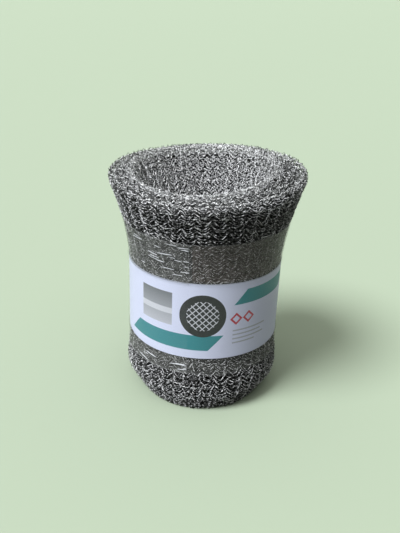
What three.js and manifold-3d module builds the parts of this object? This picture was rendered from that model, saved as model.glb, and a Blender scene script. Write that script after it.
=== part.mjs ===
import * as THREE from 'three';
import { mergeVertices } from 'three/addons/utils/BufferGeometryUtils.js';
import Module from 'manifold-3d';

// A roll of knitted wire mesh standing on its end, held at the waist by a paper band and a clear film.
// Millimetres, +Z up. The origin is on the floor in the middle of the roll, and the front faces -Y.
//
// Every piece is first made straight, as if the roll were a plain tube, and then spread by one function
// that flares the mouth, swells the foot and tucks its edge in. The band and the film follow the mesh.

// Driving dimensions of the wound strip
const STRIP_WIDTH = 152;
const WAIST_RADIUS = 51.5;
const CORE_RADIUS = 27;
const TURNS = 4;
const TURN_SLIT = 1.2;
const TOP_SLIT_DEPTH = 12;
const FOOT_SLIT_DEPTH = 7;
const STRIP_END_ANGLE = 112;

// Driving dimensions of the flared mouth and the foot
const LIP_RADIUS = 63.8;
const LIP_DROP = 1.5;
const LIP_CORNER = 2;
const LIP_TILT = 4.1;
const LIP_TILT_ANGLE = 56;
const LIP_WAVE = 0.9;
const FLARE_START = 93;
const MOUTH_RADIUS = 46;
const MOUTH_SHIFT = 7;
const MOUTH_SHIFT_ANGLE = 120;
const FUNNEL_START = 84;
const FOOT_RADIUS = 53.6;
const FOOT_TAPER = 46;
const FOOT_CORNER = 4;
const FOOT_TUCK = 4;
const FOOT_TUCK_HEIGHT = 14;
const FLARE_EASE = 1.5;
const FUNNEL_EASE = 2;

// Driving dimensions of the knit: wales are its columns of stitches, and courses are its rows
const WALES = 40;
const COURSE_HEIGHT = 5.2;
const RIB_DEPTH = 1.2;
const COURSE_DEPTH = 1;
const STITCH_GAP_DEPTH = 1.4;
const CHEVRON_RISE = 2.2;
const FUNNEL_KNIT_DEPTH = 26;
const PLAIN_ROW_HEIGHT = 50;

// Driving dimensions of the paper band and the film
const LABEL_BOTTOM = 42;
const LABEL_HEIGHT = 53.6;
const LABEL_THICKNESS = 0.3;
const LABEL_LAP_ANGLE = 16;
const LABEL_SEAM_ANGLE = 84;
const FILM_BELOW_LABEL = 12;
const FILM_ABOVE_LABEL = 23.5;
const FILM_THICKNESS = 0.25;
const FILM_LAP_ANGLE = 74;
const FILM_SEAM_ANGLE = 260;
const FILM_STEP_LENGTH = 3;
const LAP_RAMP_ANGLE = 12;
const CLEARANCE = 0.3;

// Facets
const COLUMNS = 2 * WALES;
const SPIRAL_STEPS_PER_TURN = 18;
const BAND_STEP_ANGLE = 7.5;
const END_STEPS = 5;
const FILM_NECK_ROWS = 3;

// Sizes that follow from these
const TURN_PITCH = (WAIST_RADIUS - CORE_RADIUS) / TURNS;
const COURSES = Math.round(STRIP_WIDTH / COURSE_HEIGHT);
const ROW_HEIGHT = STRIP_WIDTH / (2 * COURSES);
const LABEL_TOP = LABEL_BOTTOM + LABEL_HEIGHT;
const FILM_BOTTOM = LABEL_BOTTOM - FILM_BELOW_LABEL;
const FILM_TOP = LABEL_TOP + FILM_ABOVE_LABEL;

const wasm = await Module();
wasm.setup();

const { degToRad, smoothstep, lerp } = THREE.MathUtils;

function polar(radius, angle) {
  return new THREE.Vector2(radius * Math.cos(angle), radius * Math.sin(angle));
}

// The spread of the roll

// How far a height has come from start to the top of the strip, from 0 to 1.
function riseFrom(start, height) {
  return Math.max(0, (height - start) / (STRIP_WIDTH - start));
}

// Takes a point of the straight roll to its place on the flared one. The depth through the wall is 0 at the
// core and 1 at the outer face, and the widening is shared out along it. The mouth sits off the middle of
// the lip, so the lip is broad at the front and thin at the back. The foot is tucked in just above the floor.
function spread(point) {
  const radius = Math.hypot(point.x, point.y);
  const angle = Math.atan2(point.y, point.x);
  const depth = (radius - CORE_RADIUS) / (WAIST_RADIUS - CORE_RADIUS);

  const flare = smoothstep(Math.pow(riseFrom(FLARE_START, point.z), FLARE_EASE), 0, 1);
  const funnel = Math.pow(riseFrom(FUNNEL_START, point.z), FUNNEL_EASE);
  const foot = 1 - smoothstep(point.z, 0, FOOT_TAPER);
  const outward = (LIP_RADIUS - WAIST_RADIUS) * flare + (FOOT_RADIUS - WAIST_RADIUS) * foot;
  const inward = (MOUTH_RADIUS - CORE_RADIUS) * funnel;
  const tuck = FOOT_TUCK * depth * (1 - smoothstep(point.z, 0, FOOT_TUCK_HEIGHT));
  const wave = LIP_WAVE * flare * (Math.cos(2 * angle) + 0.5 * Math.cos(4 * angle + 1));

  const newRadius = radius + lerp(inward, outward, depth) + wave - tuck;
  const tilt = LIP_TILT * flare * Math.cos(angle - degToRad(LIP_TILT_ANGLE));
  const newHeight = point.z - LIP_DROP * depth * flare + tilt;
  const shift = polar(MOUTH_SHIFT * funnel * (1 - depth), degToRad(MOUTH_SHIFT_ANGLE));
  return point.set(newRadius * Math.cos(angle) + shift.x, newRadius * Math.sin(angle) + shift.y, newHeight);
}

function spreadGeometry(geometry) {
  const position = geometry.attributes.position;
  const point = new THREE.Vector3();
  for (let index = 0; index < position.count; index++) {
    spread(point.fromBufferAttribute(position, index));
    position.setXYZ(index, point.x, point.y, point.z);
  }
  geometry.computeVertexNormals();
  return geometry;
}

// Solids for joining and cutting

function weld(geometry) {
  geometry.deleteAttribute('normal');
  geometry.deleteAttribute('uv');
  return mergeVertices(geometry, 1e-4);
}

function toSolid(geometry) {
  const welded = weld(geometry);
  return new wasm.Manifold(new wasm.Mesh({
    numProp: 3,
    vertProperties: new Float32Array(welded.attributes.position.array),
    triVerts: new Uint32Array(welded.index.array),
  }));
}

function toGeometry(solid) {
  const mesh = solid.getMesh();
  const geometry = new THREE.BufferGeometry();
  geometry.setAttribute('position', new THREE.BufferAttribute(new Float32Array(mesh.vertProperties), 3));
  geometry.setIndex(new THREE.BufferAttribute(new Uint32Array(mesh.triVerts), 1));
  return geometry;
}

// An outline in the floor plane, pulled straight up from one height to another.
function pullUp(outline, from, to, steps = 1) {
  const geometry = new THREE.ExtrudeGeometry(outline, { depth: to - from, steps, bevelEnabled: false });
  return geometry.translate(0, 0, from);
}

// The wound strip

// One level of the wall: its radius and height on the straight tube, which way the wall faces, whether the
// level is knitted, and whether it lies on a ridge of stitches or in the groove between two courses.
function level(radius, height, facing, knitted, groove) {
  return { radius, height, facing, knitted, groove };
}

// The outer wall from its rounded foot up to the lip. Under the paper only the ribs of the wales are needed.
function outerLevels() {
  const cornerRise = FOOT_CORNER * (1 - Math.SQRT1_2);
  const levels = [
    level(WAIST_RADIUS - FOOT_CORNER, 0, 1, false, false),
    level(WAIST_RADIUS - cornerRise, cornerRise, 1, true, false),
  ];
  for (let row = 2; row < 2 * COURSES; row++) {
    const height = row * ROW_HEIGHT;
    const covered = height > LABEL_BOTTOM + ROW_HEIGHT && height < LABEL_TOP - ROW_HEIGHT;
    if (!covered) levels.push(level(WAIST_RADIUS, height, 1, true, row % 2 === 1));
  }
  levels.push(level(WAIST_RADIUS - LIP_CORNER, STRIP_WIDTH, 1, true, false));
  return levels;
}

// The inner wall from the mouth down: knitted as deep as the eye reaches, and plain in the core.
function innerLevels() {
  const levels = [level(CORE_RADIUS + LIP_CORNER, STRIP_WIDTH, -1, true, false)];
  const knitRows = Math.round(FUNNEL_KNIT_DEPTH / ROW_HEIGHT);
  for (let row = 1; row <= knitRows; row++) {
    const height = STRIP_WIDTH - row * ROW_HEIGHT;
    levels.push(level(CORE_RADIUS, height, -1, true, row % 2 === 1));
  }
  const plainTop = STRIP_WIDTH - knitRows * ROW_HEIGHT;
  const plainRows = Math.ceil(plainTop / PLAIN_ROW_HEIGHT);
  for (let row = 1; row <= plainRows; row++) {
    levels.push(level(CORE_RADIUS, plainTop * (1 - row / plainRows), -1, false, false));
  }
  return levels;
}

// The straight tube, revolved and then pressed into ribs and rows of chevron stitches. Between two ribs and
// two rows a stitch has its open gap, which goes deepest.
function knittedTube() {
  const levels = [...outerLevels(), ...innerLevels()];
  levels.push(levels[0]);
  const profile = levels.map(({ radius, height }) => new THREE.Vector2(radius, height));
  const geometry = new THREE.LatheGeometry(profile, COLUMNS).rotateX(Math.PI / 2);
  const position = geometry.attributes.position;

  for (let column = 0; column <= COLUMNS; column++) {
    const valley = column % 2 === 1;
    const angle = (column % COLUMNS) / COLUMNS * 2 * Math.PI;
    levels.forEach(({ radius, height, facing, knitted, groove }, row) => {
      const gap = valley && groove ? STITCH_GAP_DEPTH : 0;
      const pressed = (valley ? RIB_DEPTH : 0) + (groove ? COURSE_DEPTH : 0) + gap;
      const rise = valley ? CHEVRON_RISE / 2 : -CHEVRON_RISE / 2;
      const place = polar(knitted ? radius - facing * pressed : radius, angle);
      position.setXYZ(column * levels.length + row, place.x, place.y, knitted ? height + rise : height);
    });
  }
  return toSolid(geometry);
}

// A straight slot across the wall, from one radius to another.
function radialSlot(fromRadius, toRadius, angle) {
  const along = polar(1, angle);
  const across = polar(TURN_SLIT / 2, angle + Math.PI / 2);
  const near = along.clone().multiplyScalar(fromRadius);
  const far = along.clone().multiplyScalar(toRadius);
  return new THREE.Shape([
    near.clone().sub(across), far.clone().sub(across), far.clone().add(across), near.clone().add(across),
  ]);
}

// The narrow spiral between one turn of the strip and the next.
function spiralSlot() {
  const startAngle = degToRad(STRIP_END_ANGLE);
  const sweep = 2 * Math.PI * (TURNS - 1);
  const steps = SPIRAL_STEPS_PER_TURN * (TURNS - 1);
  const inside = [];
  const outside = [];
  for (let step = 0; step <= steps; step++) {
    const share = step / steps;
    const radius = lerp(CORE_RADIUS + TURN_PITCH, WAIST_RADIUS - TURN_PITCH, share);
    inside.push(polar(radius - TURN_SLIT / 2, startAngle + sweep * share));
    outside.push(polar(radius + TURN_SLIT / 2, startAngle + sweep * share));
  }
  return new THREE.Shape([...inside, ...outside.reverse()]);
}

// What parts the turns: a spiral slit into each end of the roll, and the two ends of the strip, which run
// from the floor to the lip.
function turnGaps() {
  const angle = degToRad(STRIP_END_ANGLE);
  const innerEnd = radialSlot(CORE_RADIUS - TURN_PITCH, CORE_RADIUS + TURN_PITCH, angle);
  const outerEnd = radialSlot(WAIST_RADIUS - TURN_PITCH, WAIST_RADIUS + TURN_PITCH, angle);
  const floor = -TURN_PITCH;
  const sky = STRIP_WIDTH + TURN_PITCH;
  return [
    pullUp(spiralSlot(), floor, FOOT_SLIT_DEPTH),
    pullUp(spiralSlot(), STRIP_WIDTH - TOP_SLIT_DEPTH, sky),
    pullUp(innerEnd, floor, sky, END_STEPS),
    pullUp(outerEnd, floor, sky, END_STEPS),
  ].map(toSolid).reduce((joined, gap) => joined.add(gap));
}

function wireMeshRoll() {
  return spreadGeometry(toGeometry(knittedTube().subtract(turnGaps())));
}

// The paper band and the film

// A thin band wound once round the roll, with its free end lapped over its start. Angles are in degrees.
// Each row of the band has its height and how far it sinks towards the axis.
function lappedBand(innerRadius, thickness, seamAngle, lapAngle, rows) {
  const lift = thickness + CLEARANCE;
  const sweep = 360 + lapAngle;
  const count = Math.ceil(sweep / BAND_STEP_ANGLE);
  const inside = [];
  const outside = [];
  for (let step = 0; step <= count; step++) {
    const turned = sweep * step / count;
    const radius = innerRadius + lift * smoothstep(turned, 360 - LAP_RAMP_ANGLE, 360);
    const angle = degToRad(seamAngle - sweep + turned);
    inside.push(polar(radius, angle));
    outside.push(polar(radius + thickness, angle));
  }
  const outline = new THREE.Shape([...outside, ...inside.reverse()]);
  const geometry = weld(pullUp(outline, 0, rows.length - 1, rows.length - 1));
  const position = geometry.attributes.position;
  for (let index = 0; index < position.count; index++) {
    const { height, sink } = rows[Math.round(position.getZ(index))];
    const radius = Math.hypot(position.getX(index), position.getY(index));
    const share = (radius - sink) / radius;
    position.setXYZ(index, position.getX(index) * share, position.getY(index) * share, height);
  }
  return spreadGeometry(geometry);
}

const labelInnerRadius = WAIST_RADIUS + CLEARANCE;
const labelOuterRadius = labelInnerRadius + 2 * LABEL_THICKNESS + CLEARANCE;
const filmInnerRadius = labelOuterRadius + CLEARANCE;

function labelBand() {
  const rows = [{ height: LABEL_BOTTOM, sink: 0 }, { height: LABEL_TOP, sink: 0 }];
  return lappedBand(labelInnerRadius, LABEL_THICKNESS, LABEL_SEAM_ANGLE, LABEL_LAP_ANGLE, rows);
}

// The film stands over the paper, steps down on to the mesh above and below it, and follows the flare.
function filmWrap() {
  const sink = filmInnerRadius - (WAIST_RADIUS + CLEARANCE);
  const rows = [
    { height: FILM_BOTTOM, sink },
    { height: LABEL_BOTTOM - FILM_STEP_LENGTH, sink },
    { height: LABEL_BOTTOM - CLEARANCE, sink: 0 },
    { height: LABEL_TOP + CLEARANCE, sink: 0 },
  ];
  const neckBottom = LABEL_TOP + FILM_STEP_LENGTH;
  for (let row = 0; row <= FILM_NECK_ROWS; row++) {
    rows.push({ height: lerp(neckBottom, FILM_TOP, row / FILM_NECK_ROWS), sink });
  }
  return lappedBand(filmInnerRadius, FILM_THICKNESS, FILM_SEAM_ANGLE, FILM_LAP_ANGLE, rows);
}

// The assembly

function piece(name, geometry, color, roughness, metalness, opacity = 1) {
  const material = new THREE.MeshStandardMaterial({
    color, roughness, metalness, opacity, transparent: opacity < 1,
  });
  const mesh = new THREE.Mesh(geometry, material);
  mesh.name = name;
  return mesh;
}

const roll = new THREE.Group();
roll.add(
  piece('wire_mesh_roll', wireMeshRoll(), 0x8c8a84, 0.35, 0.9),
  piece('label_band', labelBand(), 0xdfe2f0, 0.6, 0),
  piece('film_wrap', filmWrap(), 0xf2f5f4, 0.12, 0, 0.3),
);

export default roll;
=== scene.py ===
import math

import bpy
import numpy as np
from mathutils import Matrix


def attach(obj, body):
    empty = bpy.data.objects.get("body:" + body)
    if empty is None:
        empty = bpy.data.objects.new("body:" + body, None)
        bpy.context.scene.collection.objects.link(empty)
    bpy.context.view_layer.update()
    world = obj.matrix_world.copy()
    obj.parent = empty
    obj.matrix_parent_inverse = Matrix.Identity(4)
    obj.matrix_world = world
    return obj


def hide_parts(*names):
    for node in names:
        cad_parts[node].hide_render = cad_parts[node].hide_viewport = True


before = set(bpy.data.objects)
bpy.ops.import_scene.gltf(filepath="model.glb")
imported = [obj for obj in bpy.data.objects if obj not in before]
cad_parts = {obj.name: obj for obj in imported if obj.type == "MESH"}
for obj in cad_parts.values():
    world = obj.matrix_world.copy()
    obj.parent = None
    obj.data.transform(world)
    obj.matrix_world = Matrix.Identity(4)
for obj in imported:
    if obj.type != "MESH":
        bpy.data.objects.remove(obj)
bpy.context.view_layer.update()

# A roll of knitted wire mesh standing on its end, with a paper band and a clear film round its waist.
# Metres, +Z up, with the front towards -Y. Each turn of the strip is a flattened sleeve of knitted wire.
# Everything is first laid out on a straight roll and then spread to the flared one by a single function.

MM = 0.001
FULL_TURN = 2 * math.pi
FRONT = math.radians(270)

# The wound strip
STRIP_WIDTH = 152 * MM
WAIST_RADIUS = 51.5 * MM
CORE_RADIUS = 27 * MM
TURNS = 4
TURN_PITCH = (WAIST_RADIUS - CORE_RADIUS) / TURNS
STRIP_END_ANGLE = math.radians(112)

# The flared lip, raised at its back right and at its sides, a little wavy and leaning to the left
LIP_RADIUS = 63.3 * MM
LIP_DROP = 1.5 * MM
LIP_TILT = 4.1 * MM
LIP_TILT_ANGLE = math.radians(56)
LIP_SADDLE = 2.2 * MM
LIP_WAVE = 0.9 * MM
LIP_LEAN = 0.8 * MM
FLARE_START = 93 * MM
FLARE_EASE = 1.7

# The funnel mouth, which lies off centre
MOUTH_RADIUS = 46 * MM
MOUTH_SHIFT = 7 * MM
MOUTH_SHIFT_ANGLE = math.radians(120)
FUNNEL_START = 84 * MM
FUNNEL_EASE = 2

# The foot, which swells and then tucks in at the floor, most of all at its sides
FOOT_RADIUS = 53.6 * MM
FOOT_TAPER = 46 * MM
FOOT_TUCK = 4 * MM
FOOT_SIDE_TUCK = 5 * MM
FOOT_TUCK_HEIGHT = 16 * MM

# The knit, whose wales are its columns of stitches and whose courses are its rows
OUTER_WALES = 40
WALES_LOST_PER_TURN = 2
COURSE_HEIGHT = 3.2 * MM
STRANDS_PER_COURSE = 2
STRAND_DEPTH = 0.1 * MM
WIRE_RADIUS = 0.2 * MM
WIRE_SIDES = 3
SAMPLES_PER_LOOP = 6
LOOP_REACH = 1.6 * MM
LOOP_SHARPNESS = 0.05
LOOP_DEPTH = 1.3 * MM
LAYER_STEP = 1.0 * MM
LAYER_STAGGER = 0.5

# The looseness of the knit: stitches wander one by one, and a whole turn ripples. Phases are in radians,
# places along a course are in wales, and reaches are shares of the loop's reach.
SEED = 7
PHASE_SPREAD = 0.4
WALE_WANDER = 0.1
WALE_RIPPLE = 0.25
REACH_WANDER = 0.45
REACH_RANGE = (0.2, 1.9)
COURSE_WANDER = 0.35 * MM
COURSE_RIPPLE = 0.8 * MM
DEPTH_WANDER = 0.45 * MM
DEPTH_RIPPLE = 0.3 * MM
LOOSE_LIMIT = 0.7 * MM
RIPPLES = 7
RIPPLE_LOBES = (2, 12)
RIPPLE_PITCH = (20 * MM, 120 * MM)

# How much of each turn is knitted. A face is carried on round its folds until it faces away by FACE_EDGE.
FACE_EDGE = 0.3
TOP_SHOWN = 32 * MM
BOTTOM_SHOWN = 6 * MM
FUNNEL_BOTTOM = 80 * MM

# Lengths of wire pulled straight on the outer turn. They spread to both sides of the front, in radians, and
# their slopes and bows are shares of their length.
PULLED_WIRES = 34
PULLED_POINTS = 9
PULLED_LOW = (4 * MM, 28 * MM)
PULLED_HIGH = (122 * MM, 147 * MM)
PULLED_SPREAD = 1.3
PULLED_LENGTH = (5 * MM, 15 * MM)
PULLED_SLOPE = (-0.7, 0.25)
PULLED_BOW = 0.06
PULLED_LIFT = 0.5 * MM
PULLED_DIP = 0.6 * MM

# The body of the roll behind the knit, a dark stand-in whose near-black colour is painted shade
BODY_INSET = 3.6 * MM
BODY_BOTTOM = 2 * MM
BODY_TOP = STRIP_WIDTH - 5 * MM
BODY_ROWS = 24
BODY_COLUMNS = 96

# The paper band
LABEL_BOTTOM = 42 * MM
LABEL_HEIGHT = 53.6 * MM
LABEL_TOP = LABEL_BOTTOM + LABEL_HEIGHT
LABEL_CLEARANCE = 0.4 * MM
LABEL_RADIUS = WAIST_RADIUS + LABEL_CLEARANCE
LABEL_LAP = math.radians(16)
LABEL_SEAM = math.radians(84)
LABEL_ROWS = 13

# The film
FILM_BELOW_LABEL = 12 * MM
FILM_ABOVE_LABEL = 29 * MM
FILM_BOTTOM = LABEL_BOTTOM - FILM_BELOW_LABEL
FILM_TOP = LABEL_TOP + FILM_ABOVE_LABEL
FILM_CLEARANCE = 1.1 * MM
FILM_RADIUS = WAIST_RADIUS + FILM_CLEARANCE
FILM_SINK = 0.5 * MM
FILM_STEP_LENGTH = 3 * MM
FILM_LAP = math.radians(74)
FILM_SEAM = math.radians(260)
FILM_ROWS = 46

# The film's hold on the knit starts this far outside its edges, and is full this far inside them
HOLD_OUTSIDE = 4 * MM
HOLD_INSIDE = 2 * MM

# Both bands
LAP_RAMP = math.radians(12)
LAP_LIFT = 0.3 * MM
BAND_STEP = math.radians(2)
BAND_BUCKLE = 0.06 * MM
EDGE_WIDTH = 0.5 * MM

# Folds in the film, coloured near white as painted glints. Some lie below the paper, and some start right at
# the free end. The rest scatter back from it, in radians, and slopes are shares of the length.
FILM_CREASES = 28
BELOW_PAPER_EVERY = 4
AT_FREE_END_EVERY = 3
CREASE_POINTS = 11
CREASE_LENGTH = (2 * MM, 11 * MM)
CREASE_WIDTH = (0.15 * MM, 0.42 * MM)
CREASE_SCATTER = 0.4
CREASE_SLOPE = (-0.2, 0.1)
CREASE_MARGIN = 2 * MM
CREASE_LIFT = 0.1 * MM
CREASE_RIDGE = 0.12 * MM
CREASES_ABOVE = (LABEL_TOP + FILM_STEP_LENGTH, FILM_TOP - CREASE_MARGIN)
CREASES_BELOW = (FILM_BOTTOM + CREASE_MARGIN, LABEL_BOTTOM - CREASE_MARGIN)

# The surfaces of steel, film and paper
STEEL_NOISE_DETAIL = 3
STEEL_DARK_LEVEL = 0.44
STEEL_LIGHT_LEVEL = 0.57
WRINKLE_SCALE = 16
WRINKLE_TWIST = 1.5
WRINKLE_STRENGTH = 0.6
WRINKLE_HEIGHT = 0.8 * MM
HAZE_START = 0.35
HAZE_END = 0.65
PAPER_ROUGHNESS = 0.45
FIBRE_SCALE = 900
FIBRE_STRENGTH = 0.06
FIBRE_HEIGHT = 0.1 * MM

# The print, in millimetres from the middle of the label's front and up from its lower edge
LOWER_FIELD = {"left": -58, "right": 4, "low": 6, "high": 17, "slant": 0.9}
UPPER_FIELD = {"left": 20, "right": 66, "low": 38, "high": 48, "slant": 0.9}
PANEL = {"left": -44, "right": -20, "low": 22, "high": 45}
PANEL_STRIPE = {"left": -44, "right": -20, "low": 30, "high": 34}
DISC_PLACE = (0, 31)
DISC_RADIUS = 15
LATTICE_RADIUS = 10.5
LATTICE_PITCH = 4.4
LATTICE_LINE = 0.8
DIAMOND_PLACES = ((22, 28), (31, 28))
DIAMOND_REACH = 4.4
DIAMOND_HOLE = 2.6
BAR_LENGTHS = (26, 22, 25, 17)
BARS_LEFT = 20
BARS_TOP = 20
BAR_PITCH = 3
BAR_HEIGHT = 1

# The colours of the print
PAPER = (0.68, 0.71, 0.86)
TEAL = (0.035, 0.23, 0.25)
CHARCOAL = (0.012, 0.013, 0.015)
RED = (0.5, 0.05, 0.07)
GREY = (0.42, 0.43, 0.47)
PANEL_FOOT = (0.5, 0.51, 0.54)
PANEL_HEAD = (0.16, 0.17, 0.18)
STRIPE_GREY = (0.62, 0.63, 0.66)
LATTICE_GREY = (0.6, 0.61, 0.64)

# The photograph's camera
CAMERA_PLACE = (0.0, -389.5 * MM, 264.6 * MM)
CAMERA_PAN = -0.0086
CAMERA_TILT = 0.4354
CAMERA_ROLL = 0.038
FOCAL_PIXELS = 620
FRAME_HEIGHT_PIXELS = 533
SENSOR_MM = 36
VIEW_LIMIT = 100

# The floor and the sky, as they are seen and in the light that they throw
FLOOR_REACH = 20
FLOOR_ROUGHNESS = 0.9
FLOOR_SEEN = (0.3, 0.35, 0.25)
FLOOR_LIT = (0.06, 0.061, 0.056)
SKY_SEEN = (0.6, 0.71, 0.55)
SKY_LIT = (0.02, 0.019, 0.017)

random = np.random.default_rng(SEED)


# The shape of the roll

def smoothstep(value):
    value = np.clip(value, 0, 1)
    return value * value * (3 - 2 * value)


def rise_from(start, height):
    return np.clip((height - start) / (STRIP_WIDTH - start), 0, None)


def spread(radius, angle, height):
    """Takes points of a straight roll to the one with a flared lip, a funnel mouth and a swollen foot. Depth
    is 0 at the core and 1 at the outside, and the points between move in proportion."""
    depth = (radius - CORE_RADIUS) / (WAIST_RADIUS - CORE_RADIUS)
    flare = rise_from(FLARE_START, height) ** FLARE_EASE
    funnel = rise_from(FUNNEL_START, height) ** FUNNEL_EASE
    foot = 1 - smoothstep(height / FOOT_TAPER)
    outward = (LIP_RADIUS - WAIST_RADIUS) * flare + (FOOT_RADIUS - WAIST_RADIUS) * foot
    inward = (MOUTH_RADIUS - CORE_RADIUS) * funnel
    pull = FOOT_TUCK + FOOT_SIDE_TUCK * np.cos(angle) ** 2
    tuck = pull * depth * (1 - smoothstep(height / FOOT_TUCK_HEIGHT))
    wave = LIP_WAVE * flare * (np.cos(2 * angle) + 0.5 * np.cos(4 * angle + 1))
    new_radius = radius + inward + (outward - inward) * depth + wave - tuck
    tilt = flare * (LIP_TILT * np.cos(angle - LIP_TILT_ANGLE) + LIP_SADDLE * np.cos(angle) ** 2)
    new_height = height - LIP_DROP * depth * flare + tilt
    shift = MOUTH_SHIFT * funnel * (1 - depth)
    across = new_radius * np.cos(angle) + shift * math.cos(MOUTH_SHIFT_ANGLE) - LIP_LEAN * flare
    back = new_radius * np.sin(angle) + shift * math.sin(MOUTH_SHIFT_ANGLE)
    return np.stack([across, back, new_height], axis=-1)


# Mesh helpers

def mesh_object(name, vertices, faces, material, smooth=True):
    mesh = bpy.data.meshes.new(name)
    mesh.from_pydata(vertices.reshape(-1, 3).tolist(), [], list(faces))
    mesh.materials.append(material)
    if smooth:
        mesh.shade_smooth()
    mesh.update()
    piece = bpy.data.objects.new(name, mesh)
    bpy.context.collection.objects.link(piece)
    return piece


def ride(piece):
    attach(piece, "root")
    return piece


def grid_faces(rows, columns, closed_rows=False, closed_columns=False):
    """Quads over a grid of points, wrapped round in either direction."""
    row_count = rows if closed_rows else rows - 1
    column_count = columns if closed_columns else columns - 1
    row, column = np.meshgrid(np.arange(row_count), np.arange(column_count), indexing="ij")
    next_row = (row + 1) % rows
    next_column = (column + 1) % columns
    corners = [row * columns + column, row * columns + next_column,
               next_row * columns + next_column, next_row * columns + column]
    return np.stack([corner.ravel() for corner in corners], axis=-1)


# Knitted wire

def tubes(paths):
    """Wire along each path of an array of paths by points by coordinates, with closed ends."""
    along = np.gradient(paths, axis=1)
    along /= np.linalg.norm(along, axis=-1, keepdims=True)
    radial = paths * np.array([1, 1, 0])
    radial /= np.linalg.norm(radial, axis=-1, keepdims=True)
    side = np.cross(along, radial)
    side /= np.linalg.norm(side, axis=-1, keepdims=True)
    front = np.cross(side, along)
    turn = (np.arange(WIRE_SIDES) + 0.5) * FULL_TURN / WIRE_SIDES
    ring = side[:, :, None, :] * np.cos(turn)[:, None] + front[:, :, None, :] * np.sin(turn)[:, None]
    points = paths[:, :, None, :] + WIRE_RADIUS * ring
    count, length = paths.shape[:2]
    corners = np.arange(WIRE_SIDES)
    wall = grid_faces(length, WIRE_SIDES, closed_columns=True)
    caps = np.array([corners[::-1], corners + (length - 1) * WIRE_SIDES])
    starts = (np.arange(count) * length * WIRE_SIDES)[:, None, None]
    all_walls = (wall + starts).reshape(-1, 4)
    all_caps = (caps + starts).reshape(-1, WIRE_SIDES)
    return points, all_walls.tolist() + all_caps.tolist()


def sleeve_path(distance, middle, half):
    """A place on the flattened sleeve of one turn. The distance starts at the floor, and runs up the outer
    face, over the top fold and down the inner face. Returns the radius, the height, and how far the sleeve
    faces out and up there."""
    fold = math.pi * half
    straight = STRIP_WIDTH - 2 * half
    distance = distance % (2 * straight + 2 * fold)
    up = np.clip(distance - fold / 2, 0, straight)
    over = np.clip(distance - fold / 2 - straight, 0, fold)
    down = np.clip(distance - 1.5 * fold - straight, 0, straight)
    under = distance - np.clip(distance, fold / 2, 1.5 * fold + 2 * straight)
    turned = (over + under) / half
    out = np.cos(turned)
    lift = np.sin(turned)
    height = half + up - down + half * lift
    return middle + half * out, height, out, lift


def ripple(angle, distance, size):
    """A smooth, uneven wave over one turn of the strip."""
    total = np.zeros(np.broadcast(angle, distance).shape)
    for _ in range(RIPPLES):
        lobes = random.integers(*RIPPLE_LOBES)
        pitch = random.uniform(*RIPPLE_PITCH)
        total += np.sin(lobes * angle + distance / pitch + random.uniform(0, FULL_TURN))
    return size * total / math.sqrt(RIPPLES)


def held_in(height):
    """How far the film presses the knit in at a height, from 0 to 1. It eases off across both edges."""
    ease = HOLD_OUTSIDE + HOLD_INSIDE
    rising = smoothstep((height - FILM_BOTTOM + HOLD_OUTSIDE) / ease)
    falling = smoothstep((height - FILM_TOP + HOLD_INSIDE) / ease)
    return rising - falling


def knit(name, turn, layer, shows, material, start=0.0):
    """The courses of one layer of a turn where it shows. Each strand of a course is bent into one loop a
    wale, and every other strand lies a little deeper."""
    wales = OUTER_WALES - WALES_LOST_PER_TURN * (TURNS - 1 - turn)
    middle = CORE_RADIUS + TURN_PITCH * (turn + 0.5)
    half = TURN_PITCH / 2 - layer * LAYER_STEP
    length = 2 * (STRIP_WIDTH - 2 * half) + FULL_TURN * half
    strands = STRANDS_PER_COURSE * round(length / COURSE_HEIGHT)
    order = np.arange(strands)
    place = (order + layer * LAYER_STAGGER) * length / strands
    _, height, out, _ = sleeve_path(place, middle, half)
    shown = shows(height, out)
    place = place[shown][:, None]
    deeper = STRAND_DEPTH * (-1.0) ** order[shown][:, None]

    loop = np.linspace(0, wales, wales * SAMPLES_PER_LOOP + 1)[None, :]
    stitches = np.arange(wales + 1)

    def wander(size):
        values = random.normal(0, size, (len(place), wales + 1))
        values[:, -1] = values[:, 0]
        return np.array([np.interp(loop[0], stitches, line) for line in values])

    angle = start + loop * FULL_TURN / wales
    phase = FULL_TURN * loop + random.uniform(-PHASE_SPREAD, PHASE_SPREAD, (len(place), 1))
    along = loop + wander(WALE_WANDER) + ripple(angle, place, WALE_RIPPLE)
    reach = LOOP_REACH * np.clip(1 + wander(REACH_WANDER), *REACH_RANGE)
    bend = np.cos(phase) + LOOP_SHARPNESS * np.cos(3 * phase)
    distance = place + reach * bend + wander(COURSE_WANDER) + ripple(angle, place, COURSE_RIPPLE)
    depth = wander(DEPTH_WANDER) + ripple(angle, place, DEPTH_RIPPLE)
    depth = depth - LOOP_DEPTH * np.cos(2 * phase) + deeper
    radius, height, out, lift = sleeve_path(distance, middle, half)
    pressed = held_in(height) * (turn == TURNS - 1)
    limit = layer * LAYER_STEP + LOOSE_LIMIT - pressed * (LOOSE_LIMIT + WIRE_RADIUS)
    depth = np.minimum(depth, limit)
    above_floor = np.maximum(height + depth * lift, WIRE_RADIUS)
    paths = spread(radius + depth * out, start + along * FULL_TURN / wales, above_floor)
    points, faces = tubes(paths)
    return ride(mesh_object(name, points, faces, material))


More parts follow.
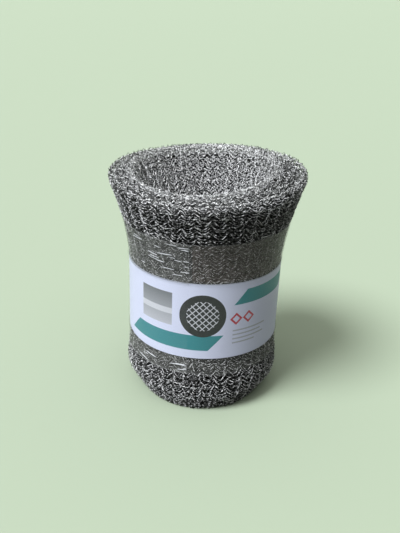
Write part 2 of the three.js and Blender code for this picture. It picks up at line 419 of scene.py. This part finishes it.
def pulled_wires(name, material):
    """Lengths of wire pulled straight across a few stitches of the outer turn, above and below the bands."""
    count = PULLED_WIRES
    share = np.linspace(-1, 1, PULLED_POINTS)[None, :]
    low = np.arange(count) % 2 == 0
    height = np.where(low, random.uniform(*PULLED_LOW, count), random.uniform(*PULLED_HIGH, count))[:, None]
    angle = FRONT + random.uniform(-PULLED_SPREAD, PULLED_SPREAD, count)[:, None]
    length = random.uniform(*PULLED_LENGTH, count)[:, None]
    slope = random.uniform(*PULLED_SLOPE, count)[:, None]
    bow = random.uniform(-PULLED_BOW, PULLED_BOW, count)[:, None] * length * share * share
    radius = WAIST_RADIUS + PULLED_LIFT - PULLED_DIP * share ** 4
    run = share * length / 2
    paths = spread(radius, angle + run / WAIST_RADIUS, height + slope * run + bow)
    points, faces = tubes(paths)
    return ride(mesh_object(name, points, faces, material))


def deep_turns_painted_shade(material):
    """The body of the roll behind the wires that show, coloured near black as the painted shade of the deeper
    turns.
    """
    heights = np.linspace(BODY_BOTTOM, BODY_TOP, BODY_ROWS)
    outer = np.full(BODY_ROWS, WAIST_RADIUS - BODY_INSET)
    inner = np.full(BODY_ROWS, CORE_RADIUS + BODY_INSET)
    radius = np.concatenate([outer, inner])
    height = np.concatenate([heights, heights[::-1]])
    angle = np.linspace(0, FULL_TURN, BODY_COLUMNS, endpoint=False)
    points = spread(radius[:, None], angle[None, :], height[:, None])
    faces = grid_faces(len(height), BODY_COLUMNS, closed_rows=True, closed_columns=True)[:, ::-1]
    return ride(mesh_object("deep_turns_painted_shade", points, faces, material))


# The parts of a turn that are knitted, by height and by how far the sleeve faces out

def bare(height):
    """The heights that the paper leaves bare, with one course under each of its edges."""
    return (height < LABEL_BOTTOM + COURSE_HEIGHT) | (height > LABEL_TOP - COURSE_HEIGHT)


def outer_face(height, out):
    return (out > -FACE_EDGE) & bare(height)


def both_ends(height, out):
    return (height > STRIP_WIDTH - TOP_SHOWN) | (height < BOTTOM_SHOWN)


def back_ends(height, out):
    return (out < 0) & both_ends(height, out)


def inner_face(height, out):
    return (out < FACE_EDGE) | both_ends(height, out)


def funnel_face(height, out):
    return (out < FACE_EDGE) & (height > FUNNEL_BOTTOM)


# The paper band and the film

def wound_band(name, radius, sinks, heights, seam, lap, material):
    """A thin sheet wound once round the roll, with its free end lapped over its start. Its texture
    coordinates run from 0 to 1 along the band and up it."""
    sweep = FULL_TURN + lap
    turned = np.linspace(0, sweep, round(sweep / BAND_STEP) + 1)
    turned = np.insert(turned, -1, sweep - EDGE_WIDTH / radius)
    angle = seam - sweep + turned
    lifted = radius + LAP_LIFT * smoothstep((turned - FULL_TURN + LAP_RAMP) / LAP_RAMP)
    buckle = ripple(angle[None, :], heights[:, None], BAND_BUCKLE)
    points = spread(lifted[None, :] - sinks[:, None] + buckle, angle[None, :], heights[:, None])
    faces = grid_faces(len(heights), len(angle))
    piece = mesh_object(name, points, faces, material)
    along = turned[None, :] / sweep
    up = (heights[:, None] - heights[0]) / (heights[-1] - heights[0])
    places = np.stack(np.broadcast_arrays(along, up), axis=-1).reshape(-1, 2)
    layer = piece.data.uv_layers.new(name="band")
    layer.data.foreach_set("uv", places[faces.ravel()].ravel())
    return piece


def label_band(material):
    heights = np.linspace(LABEL_BOTTOM, LABEL_TOP, LABEL_ROWS)
    piece = wound_band("label", LABEL_RADIUS, np.zeros(LABEL_ROWS), heights, LABEL_SEAM, LABEL_LAP, material)
    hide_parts("label_band")
    return ride(piece)


def film_sink(height):
    """How far the film lies inside its radius over the label, where it steps down on to the mesh."""
    below = 1 - smoothstep((height - LABEL_BOTTOM + FILM_STEP_LENGTH) / FILM_STEP_LENGTH)
    above = smoothstep((height - LABEL_TOP) / FILM_STEP_LENGTH)
    return FILM_SINK * (below + above)


def film_wrap(bridging, on_paper, edge, painted_shade_haze):
    """The film, which is clearest on the paper and pale at its edges. Above the paper, where it lies single
    from its free end round the right side and the back, it is hazier, darker and warmer, as painted shade and
    a painted reflection."""
    inside = np.linspace(FILM_BOTTOM, FILM_TOP, FILM_ROWS)[1:-1]
    lower_edge = [FILM_BOTTOM, FILM_BOTTOM + EDGE_WIDTH]
    upper_edge = [FILM_TOP - EDGE_WIDTH, FILM_TOP]
    heights = np.concatenate([lower_edge, inside, upper_edge])
    piece = wound_band("film", FILM_RADIUS, film_sink(heights), heights, FILM_SEAM, FILM_LAP, bridging)
    for material in (on_paper, edge, painted_shade_haze):
        piece.data.materials.append(material)
    paper_index, edge_index, painted_shade_haze_index = 1, 2, 3
    rows = len(heights) - 1
    kind = np.zeros((rows, len(piece.data.polygons) // rows), np.int32)
    turned = np.linspace(0, FULL_TURN + FILM_LAP, kind.shape[1])
    single = (turned > FILM_LAP) & (turned < FULL_TURN)
    kind[np.outer(heights[:-1] >= LABEL_TOP, single)] = painted_shade_haze_index
    kind[[0, -1]] = edge_index
    kind[:, -1] = edge_index
    kind[(heights[:-1] >= LABEL_BOTTOM) & (heights[1:] <= LABEL_TOP)] = paper_index
    piece.data.polygons.foreach_set("material_index", kind.ravel())
    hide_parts("film_wrap")
    return ride(piece)


def film_creases(material):
    """Slender folds pulled across the film where it ends at the front, above and below the paper, coloured
    near white as painted glints.
    """
    points = []
    faces = []
    share = np.linspace(-1, 1, CREASE_POINTS)
    across = np.array([-1, 0, 1])
    ridge = CREASE_LIFT + CREASE_RIDGE * (across == 0)
    crease_faces = grid_faces(CREASE_POINTS, len(across))
    for glinting_crease in range(FILM_CREASES):
        heights = CREASES_BELOW if glinting_crease % BELOW_PAPER_EVERY == 0 else CREASES_ABOVE
        length = random.uniform(*CREASE_LENGTH)
        width = random.uniform(*CREASE_WIDTH)
        end = FILM_SEAM - abs(random.normal(0, CREASE_SCATTER)) * (glinting_crease % AT_FREE_END_EVERY != 0)
        height = random.uniform(*heights) + random.uniform(*CREASE_SLOPE) * length * share / 2
        angle = end + (share - 1) / 2 * length / FILM_RADIUS
        reach = width * np.sqrt(1 - share * share)
        row = height[:, None] + reach[:, None] * across
        radius = FILM_RADIUS + LAP_LIFT + ridge - film_sink(row)
        points.append(spread(radius, angle[:, None], row).reshape(-1, 3))
        faces.append(crease_faces + row.size * glinting_crease)
    piece = mesh_object("film_creases", np.concatenate(points), np.concatenate(faces), material)
    return ride(piece)


# Materials

def new_material(name):
    material = bpy.data.materials.new(name)
    material.use_nodes = True
    tree = material.node_tree
    return material, tree, tree.nodes["Principled BSDF"]


def color_ramp(tree, level, start, end, first, second):
    """A colour that runs from the first to the second as the level rises from start to end."""
    ramp = tree.nodes.new("ShaderNodeValToRGB")
    ramp.color_ramp.elements[0].position = start
    ramp.color_ramp.elements[1].position = end
    ramp.color_ramp.elements[0].color = (*first, 1)
    ramp.color_ramp.elements[1].color = (*second, 1)
    tree.links.new(level, ramp.inputs["Fac"])
    return ramp.outputs["Color"]


def add_bump(tree, shader, level, strength, height):
    bump = tree.nodes.new("ShaderNodeBump")
    bump.inputs["Strength"].default_value = strength
    bump.inputs["Distance"].default_value = height
    tree.links.new(level, bump.inputs["Height"])
    tree.links.new(bump.outputs["Normal"], shader.inputs["Normal"])


def mottled_metal(name, dark, light, scale, roughness, metallic, specular):
    """Steel whose tone wanders from place to place."""
    material, tree, shader = new_material(name)
    shader.inputs["Metallic"].default_value = metallic
    shader.inputs["Roughness"].default_value = roughness
    shader.inputs["Specular IOR Level"].default_value = specular
    place = tree.nodes.new("ShaderNodeTexCoord")
    noise = tree.nodes.new("ShaderNodeTexNoise")
    noise.inputs["Scale"].default_value = scale
    noise.inputs["Detail"].default_value = STEEL_NOISE_DETAIL
    tree.links.new(place.outputs["Object"], noise.inputs["Vector"])
    tone = color_ramp(tree, noise.outputs["Fac"], STEEL_DARK_LEVEL, STEEL_LIGHT_LEVEL, dark, light)
    tree.links.new(tone, shader.inputs["Base Color"])
    return material


def wrinkled_film(name, dim, bright, roughness, alpha):
    """Clear film, pulled into fine wrinkles, with an uneven haze."""
    material, tree, shader = new_material(name)
    shader.inputs["Roughness"].default_value = roughness
    shader.inputs["Alpha"].default_value = alpha
    noise = tree.nodes.new("ShaderNodeTexNoise")
    noise.inputs["Scale"].default_value = WRINKLE_SCALE
    noise.inputs["Distortion"].default_value = WRINKLE_TWIST
    haze = color_ramp(tree, noise.outputs["Fac"], HAZE_START, HAZE_END, dim, bright)
    tree.links.new(haze, shader.inputs["Base Color"])
    add_bump(tree, shader, noise.outputs["Fac"], WRINKLE_STRENGTH, WRINKLE_HEIGHT)
    return material


class Print:
    """Fields of colour printed over paper. Places are in millimetres, from the middle of the label's front
    along the band and up from its lower edge."""

    def __init__(self, tree, paper):
        self.tree = tree
        place = tree.nodes.new("ShaderNodeUVMap")
        place.uv_map = "band"
        split = tree.nodes.new("ShaderNodeSeparateXYZ")
        tree.links.new(place.outputs["UV"], split.inputs["Vector"])
        sweep = FULL_TURN + LABEL_LAP
        length = LABEL_RADIUS * sweep / MM
        middle = (FRONT - (LABEL_SEAM + FULL_TURN - sweep)) / sweep * length
        self.along = self.math("SUBTRACT", self.math("MULTIPLY", split.outputs["X"], length), middle)
        self.up = self.math("MULTIPLY", split.outputs["Y"], LABEL_HEIGHT / MM)
        self.color = tree.nodes.new("ShaderNodeRGB").outputs[0]
        self.color.default_value = (*paper, 1)

    def math(self, operation, first, second=0.0):
        node = self.tree.nodes.new("ShaderNodeMath")
        node.operation = operation
        for socket, value in zip(node.inputs, (first, second)):
            if isinstance(value, (int, float)):
                socket.default_value = value
            else:
                self.tree.links.new(value, socket)
        return node.outputs[0]

    def less(self, first, second):
        return self.math("LESS_THAN", first, second)

    def both(self, first, second):
        return self.math("MULTIPLY", first, second)

    def slanted(self, left, right, low, high, slant=0.0):
        """A field whose ends lean to the right by slant for each millimetre up."""
        lean = self.math("MULTIPLY", self.math("SUBTRACT", self.up, low), slant)
        along = self.math("SUBTRACT", self.along, lean)
        across = self.both(self.less(left, along), self.less(along, right))
        return self.both(across, self.both(self.less(low, self.up), self.less(self.up, high)))

    def disc(self, along, up, radius):
        right = self.math("SUBTRACT", self.along, along)
        above = self.math("SUBTRACT", self.up, up)
        square = self.math("ADD", self.both(right, right), self.both(above, above))
        return self.less(square, radius * radius)

    def diamond(self, along, up, reach):
        right = self.math("ABSOLUTE", self.math("SUBTRACT", self.along, along))
        above = self.math("ABSOLUTE", self.math("SUBTRACT", self.up, up))
        return self.less(self.math("ADD", right, above), reach)

    def lines(self, slope, pitch, width):
        """Slanting lines, side by side over the whole band."""
        across = self.math("ADD", self.along, self.math("MULTIPLY", self.up, slope))
        return self.less(self.math("PINGPONG", across, pitch / 2), width / 2)

    def fade(self, low, high, bottom, top):
        """A colour that runs from bottom to top between two heights."""
        share = self.math("DIVIDE", self.math("SUBTRACT", self.up, low), high - low)
        return color_ramp(self.tree, share, 0, 1, bottom, top)

    def fill(self, mask, color):
        mix = self.tree.nodes.new("ShaderNodeMix")
        mix.data_type = "RGBA"
        self.tree.links.new(mask, mix.inputs["Factor"])
        self.tree.links.new(self.color, mix.inputs["A"])
        if isinstance(color, tuple):
            mix.inputs["B"].default_value = (*color, 1)
        else:
            self.tree.links.new(color, mix.inputs["B"])
        self.color = mix.outputs["Result"]


def printed_paper():
    """Paper with two slanting fields, a faded panel, a disc with a lattice, two diamonds and rows of bars."""
    material, tree, shader = new_material("label_paper")
    shader.inputs["Roughness"].default_value = PAPER_ROUGHNESS
    label = Print(tree, PAPER)
    label.fill(label.slanted(**LOWER_FIELD), TEAL)
    label.fill(label.slanted(**UPPER_FIELD), TEAL)
    label.fill(label.slanted(**PANEL), label.fade(PANEL["low"], PANEL["high"], PANEL_FOOT, PANEL_HEAD))
    label.fill(label.slanted(**PANEL_STRIPE), STRIPE_GREY)
    label.fill(label.disc(*DISC_PLACE, DISC_RADIUS), CHARCOAL)
    rising = label.lines(-1, LATTICE_PITCH, LATTICE_LINE)
    falling = label.lines(1, LATTICE_PITCH, LATTICE_LINE)
    lattice = label.math("MAXIMUM", falling, rising)
    label.fill(label.both(label.disc(*DISC_PLACE, LATTICE_RADIUS), lattice), LATTICE_GREY)
    for place in DIAMOND_PLACES:
        label.fill(label.diamond(*place, DIAMOND_REACH), RED)
        label.fill(label.diamond(*place, DIAMOND_HOLE), PAPER)
    for row, length in enumerate(BAR_LENGTHS):
        top = BARS_TOP - BAR_PITCH * row
        label.fill(label.slanted(BARS_LEFT, BARS_LEFT + length, top - BAR_HEIGHT, top), GREY)
    tree.links.new(label.color, shader.inputs["Base Color"])
    fibres = tree.nodes.new("ShaderNodeTexNoise")
    fibres.inputs["Scale"].default_value = FIBRE_SCALE
    add_bump(tree, shader, fibres.outputs["Fac"], FIBRE_STRENGTH, FIBRE_HEIGHT)
    return material


# The camera, the floor and the lights

def add_camera():
    pan, tilt, roll = CAMERA_PAN, CAMERA_TILT, CAMERA_ROLL
    forward = np.array([math.sin(pan) * math.cos(tilt), math.cos(pan) * math.cos(tilt), -math.sin(tilt)])
    right = np.array([math.cos(pan), -math.sin(pan), 0])
    up = np.cross(right, forward)
    image_right = math.cos(roll) * right + math.sin(roll) * up
    image_up = -math.sin(roll) * right + math.cos(roll) * up
    data = bpy.data.cameras.new("camera")
    data.sensor_width = SENSOR_MM
    data.lens = FOCAL_PIXELS * SENSOR_MM / FRAME_HEIGHT_PIXELS
    data.clip_end = VIEW_LIMIT
    camera = bpy.data.objects.new("camera", data)
    matrix = Matrix.Identity(4)
    for column, axis in enumerate((image_right, image_up, -forward, CAMERA_PLACE)):
        for row in range(3):
            matrix[row][column] = axis[row]
    camera.matrix_world = matrix
    bpy.context.collection.objects.link(camera)
    bpy.context.scene.camera = camera


def seen_or_lit(tree, seen, lit):
    """A colour for the eye, for reflections and through the film, with another one for the light it
    throws."""
    path = tree.nodes.new("ShaderNodeLightPath")
    mix = tree.nodes.new("ShaderNodeMix")
    mix.data_type = "RGBA"
    mix.inputs["A"].default_value = (*lit, 1)
    mix.inputs["B"].default_value = (*seen, 1)
    factor = path.outputs["Is Camera Ray"]
    for ray in ("Is Glossy Ray", "Is Transmission Ray"):
        either = tree.nodes.new("ShaderNodeMath")
        either.operation = "MAXIMUM"
        tree.links.new(factor, either.inputs[0])
        tree.links.new(path.outputs[ray], either.inputs[1])
        factor = either.outputs[0]
    tree.links.new(factor, mix.inputs["Factor"])
    return mix.outputs["Result"]


def add_floor():
    material, tree, shader = new_material("floor")
    shader.inputs["Roughness"].default_value = FLOOR_ROUGHNESS
    tree.links.new(seen_or_lit(tree, FLOOR_SEEN, FLOOR_LIT), shader.inputs["Base Color"])
    corners = FLOOR_REACH * np.array([[-1, -1, 0], [1, -1, 0], [1, 1, 0], [-1, 1, 0]], float)
    mesh_object("floor", corners, np.array([[0, 1, 2, 3]]), material, smooth=False)


def add_sun(name, strength, spread_degrees, azimuth, elevation, color):
    data = bpy.data.lights.new(name, "SUN")
    data.energy = strength
    data.angle = math.radians(spread_degrees)
    data.color = color
    lamp = bpy.data.objects.new(name, data)
    lamp.rotation_euler = (math.radians(90 - elevation), 0, math.radians(azimuth))
    bpy.context.collection.objects.link(lamp)


def add_world():
    world = bpy.data.worlds.new("world")
    world.use_nodes = True
    tree = world.node_tree
    background = tree.nodes["Background"]
    tree.links.new(seen_or_lit(tree, SKY_SEEN, SKY_LIT), background.inputs["Color"])
    bpy.context.scene.world = world


# The scene

wire = mottled_metal("steel_wire", dark=(0.04, 0.0395, 0.0385), light=(0.9, 0.89, 0.876),
                     scale=850, roughness=0.28, metallic=0.2, specular=0.5)
outer_wire = mottled_metal("outer_wire", dark=(0.02, 0.0197, 0.019), light=(0.9, 0.89, 0.875),
                           scale=850, roughness=0.3, metallic=0.04, specular=0.15)
shaded_wire = mottled_metal("shaded_wire", dark=(0.012, 0.0118, 0.0112), light=(0.12, 0.119, 0.115),
                            scale=600, roughness=0.4, metallic=0.1, specular=0.1)
# Near-black steel for the body behind the knit: painted shade standing in for the deeper turns of the roll
body = mottled_metal("deep_turns_painted_shade", dark=(0.005, 0.005, 0.0045), light=(0.02, 0.0195, 0.018),
                     scale=700, roughness=0.6, metallic=0.0, specular=0.05)
film = wrinkled_film("clear_film", dim=(0.14, 0.139, 0.13), bright=(0.36, 0.36, 0.34),
                     roughness=0.2, alpha=0.22)
# The single film above the paper gets more cover and a darker, warmer colour than the clear film: painted
# shade and a painted reflection on the side away from the key light
hazy_film_painted_shade = wrinkled_film("hazy_film_painted_shade", dim=(0.104, 0.088, 0.08), bright=(0.27, 0.236, 0.222),
                          roughness=0.2, alpha=0.42)
tight_film = wrinkled_film("film_on_paper", dim=(0.7, 0.7, 0.7), bright=(0.9, 0.9, 0.9),
                           roughness=0.2, alpha=0.02)
film_edge = wrinkled_film("film_edge", dim=(0.55, 0.55, 0.53), bright=(0.85, 0.85, 0.83),
                          roughness=0.2, alpha=0.2)
# The creases are near white and mostly opaque: painted glints of light on the folds of the film
glinting_crease = wrinkled_film("film_crease_painted_glint", dim=(0.85, 0.86, 0.88), bright=(0.98, 0.985, 1.0),
                       roughness=0.25, alpha=0.8)

face = knit("outer_turn_face", turn=3, layer=0, shows=outer_face, material=outer_wire, start=STRIP_END_ANGLE)
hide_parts("wire_mesh_roll")
knit("outer_turn_middle", turn=3, layer=1, shows=outer_face, material=shaded_wire, start=STRIP_END_ANGLE)
knit("outer_turn_deep", turn=3, layer=2, shows=outer_face, material=shaded_wire, start=STRIP_END_ANGLE)
knit("outer_turn_back", turn=3, layer=0, shows=back_ends, material=wire, start=STRIP_END_ANGLE)
knit("third_turn", turn=2, layer=0, shows=both_ends, material=wire)
knit("third_turn_middle", turn=2, layer=1, shows=both_ends, material=shaded_wire)
knit("second_turn", turn=1, layer=0, shows=both_ends, material=wire)
knit("second_turn_middle", turn=1, layer=1, shows=both_ends, material=shaded_wire)
knit("inner_turn_face", turn=0, layer=0, shows=inner_face, material=wire)
knit("inner_turn_middle", turn=0, layer=1, shows=funnel_face, material=wire)
knit("inner_turn_deep", turn=0, layer=2, shows=funnel_face, material=wire)
pulled_wires("pulled_wires", wire)
deep_turns_painted_shade(body)
label_band(printed_paper())
film_wrap(film, tight_film, film_edge, hazy_film_painted_shade)
film_creases(glinting_crease)

add_camera()
add_floor()
add_sun("key", strength=5.0, spread_degrees=25, azimuth=-54, elevation=55, color=(0.95, 0.99, 1.06))
add_sun("top", strength=2.1, spread_degrees=90, azimuth=0, elevation=90, color=(0.98, 1.0, 1.02))
add_world()
bpy.context.scene.view_settings.view_transform = "Standard"
